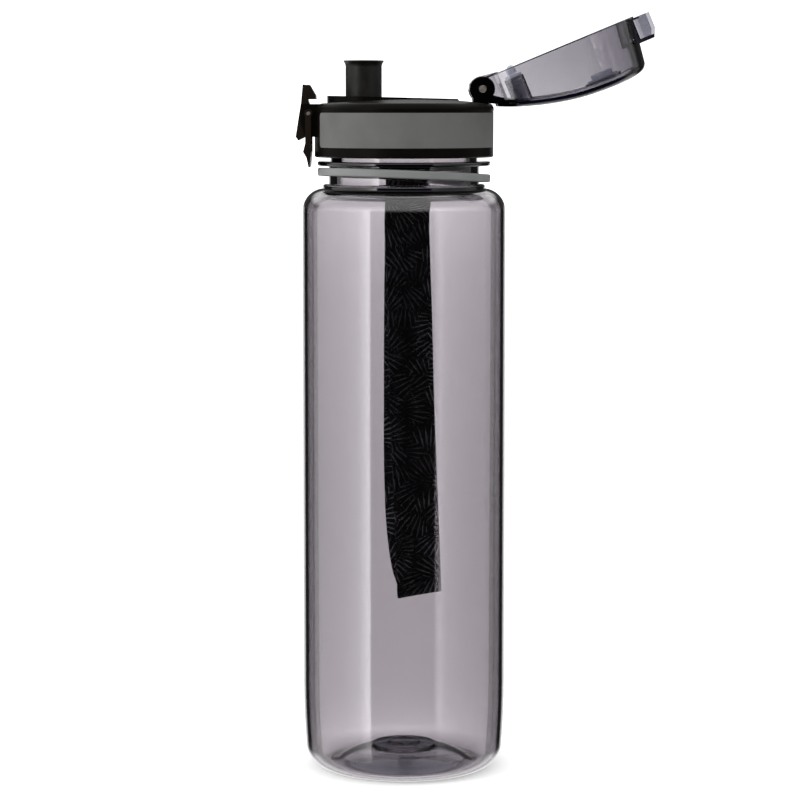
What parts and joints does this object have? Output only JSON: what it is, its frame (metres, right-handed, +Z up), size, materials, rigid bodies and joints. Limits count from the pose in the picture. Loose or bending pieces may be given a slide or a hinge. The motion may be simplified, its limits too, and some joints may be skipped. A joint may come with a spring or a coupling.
{
  "type": "water bottle",
  "caption": "Tall clear water bottle with a screw lid, a drinking spout under a latched flip cover, a strainer cup for fruit and a hanging wrist strap.",
  "frame": {"origin": "centre of the bottle's foot ring, on the surface that it stands on", "axes": "+Z up the bottle, +X towards the cover's hinge, +Y towards the strap"},
  "size_m": [0.1413, 0.088, 0.3028],
  "materials": {
    "bottle_clear": "clear, lightly tinted, glossy",
    "cover_clear": "clear, smoke tinted, glossy",
    "plug_clear": "translucent soft silicone",
    "lid_black": "satin, warm black",
    "latch_black": "satin, warm black",
    "band_grey": "fine matte grey",
    "ring_grey": "soft matte grey-green",
    "webbing": "woven, near black with dark grey strokes",
    "stitching": "matte thread",
    "spout_black": "satin, warm black",
    "seal_rubber": "soft, translucent white",
    "pin_steel": "plain steel",
    "spring_steel": "plain steel wire",
    "strainer_plastic": "satin dark grey"
  },
  "bodies": {
    "bottle": {"bottle_body": "bottle_clear"},
    "ring": {"neck_ring": "ring_grey"},
    "strap": {"carry_strap": "webbing", "strap_bartack": "stitching"},
    "seal": {"lid_gasket": "seal_rubber"},
    "lid": {"lid_shell": "lid_black", "lid_liner": "lid_black", "lid_band": "band_grey", "lid_deck": "lid_black", "spout": "spout_black", "vent_valve": "seal_rubber", "hinge_pin": "pin_steel", "hinge_spring": "spring_steel", "latch_pin": "pin_steel", "latch_spring": "spring_steel"},
    "cover": {"cover_dome": "cover_clear", "spout_plug": "plug_clear", "vent_plug": "plug_clear"},
    "latch": {"latch_lever": "latch_black"},
    "bail": {"lock_bail": "latch_black"},
    "strainer": {"strainer_cup": "strainer_plastic"}
  },
  "joints": [
    {"name": "ring_spin", "type": "hinge", "parent": "bottle", "child": "ring", "pos_m": [0, 0, 0.23865], "axis": [0, 0, 1], "range_deg": [-180, 50]},
    {"name": "strap_swing", "type": "hinge", "parent": "ring", "child": "strap", "pos_m": [0.00175, 0.03914, 0.23728], "axis": [0.9983, -0.046, -0.0366], "range_deg": [0, 90]},
    {"name": "lid_rise", "type": "slide", "parent": "bottle", "child": "seal", "axis": [0, 0, 1], "range_m": [0, 0.0181]},
    {"name": "lid_turn", "type": "hinge", "parent": "seal", "child": "lid", "pos_m": [0, 0, 0.25], "axis": [0, 0, 1], "range_deg": [0, 720]},
    {"name": "cover_hinge", "type": "hinge", "parent": "lid", "child": "cover", "pos_m": [0.0309, 0, 0.2727], "axis": [0, -1, 0], "range_deg": [0, 159.5], "stiffness_Nm_per_rad": 0.012, "springref_deg": -28.65, "deforming": ["hinge_spring"]},
    {"name": "latch_pivot", "type": "hinge", "parent": "lid", "child": "latch", "pos_m": [-0.0377, 0, 0.2631], "axis": [0, -1, 0], "range_deg": [0, 18], "stiffness_Nm_per_rad": 0.02, "springref_deg": -11.46, "deforming": ["latch_spring"]},
    {"name": "bail_swing", "type": "hinge", "parent": "lid", "child": "bail", "pos_m": [-0.0377, 0, 0.2631], "axis": [0, 1, 0], "range_deg": [0, 180]},
    {"name": "strainer_slide", "type": "slide", "parent": "lid", "child": "strainer", "axis": [0, 0, -1], "range_m": [0, 0.015]}
  ],
  "couplings": [
    {"joint": "lid_rise", "follows": "lid_turn", "m_per_rad": 0.0014324}
  ]
}
